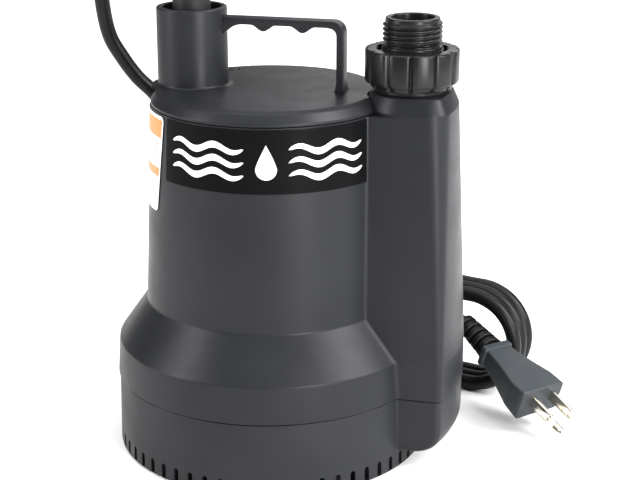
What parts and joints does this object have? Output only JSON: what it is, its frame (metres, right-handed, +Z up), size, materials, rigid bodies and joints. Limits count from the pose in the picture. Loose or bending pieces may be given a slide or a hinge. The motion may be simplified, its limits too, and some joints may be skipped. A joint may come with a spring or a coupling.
{
  "type": "submersible sump pump",
  "caption": "Round submersible pump with slotted strainer base, flared moulded body, side discharge column with threaded hose adapter, cable tower, carry handle and power cord with plug.",
  "frame": {"origin": "pump axis at the underside of the strainer base, where it stands on the floor", "axes": "+Z up along the pump axis, +X towards the discharge column, +Y towards the side where the cord lies"},
  "size_m": [0.25, 0.2136, 0.2838],
  "materials": {
    "housing": "satin moulded",
    "strainer": "satin moulded",
    "adapter": "polished mould",
    "label_black": "glossy film",
    "label_white": "glossy film",
    "cord_jacket": "satin",
    "plug": "satin",
    "blade": "plated",
    "seal_rubber": "matt",
    "steel": "satin",
    "laminations": "matt",
    "copper_wire": "varnished",
    "nylon": "natural"
  },
  "bodies": {
    "pump": {"strainer_base": "strainer", "main_housing": "housing", "top_cover": "housing", "oil_fill_plug": "seal_rubber", "label_band": "label_black", "side_label": "label_white", "volute_casing": "strainer", "casing_o_ring": "seal_rubber", "seal_plate": "strainer", "shaft_seal": "seal_rubber", "lower_end_bracket": "laminations", "lower_bearing": "steel", "motor_casing": "steel", "stator_core": "laminations", "stator_winding_lower": "copper_wire", "stator_winding_upper": "copper_wire", "upper_end_bracket": "laminations", "upper_bearing": "steel", "run_capacitor": "steel", "thermal_protector": "seal_rubber", "housing_screw_1": "steel", "housing_screw_2": "steel", "housing_screw_3": "steel", "housing_screw_4": "steel", "cord_gland_ring": "adapter", "cord_strain_relief": "seal_rubber", "power_cord_lead": "cord_jacket", "cord_hank": "cord_jacket", "hank_tie": "seal_rubber", "power_cord_tail": "cord_jacket", "plug_strain_relief": "cord_jacket", "plug_body": "plug", "plug_blade_line": "blade", "plug_blade_neutral": "blade", "plug_ground_pin": "blade"},
    "rotor": {"motor_shaft": "steel", "rotor_core": "laminations", "impeller": "nylon", "impeller_nut": "steel"},
    "washer": {"hose_washer": "seal_rubber"},
    "adapter": {"hose_adapter": "adapter", "hose_neck": "adapter"}
  },
  "joints": [
    {"name": "rotor_spin", "type": "hinge", "parent": "pump", "child": "rotor", "pos_m": [0, 0, 0.08], "axis": [0, 0, 1], "continuous": true},
    {"name": "adapter_lift", "type": "slide", "parent": "pump", "child": "washer", "axis": [0, 0, 1], "range_m": [0, 0.00884]},
    {"name": "adapter_turn", "type": "hinge", "parent": "washer", "child": "adapter", "pos_m": [0.0671, 0, 0.187], "axis": [0, 0, 1], "range_deg": [0, 1440]}
  ],
  "couplings": [
    {"joint": "adapter_lift", "follows": "adapter_turn", "m_per_rad": 0.00035157}
  ]
}
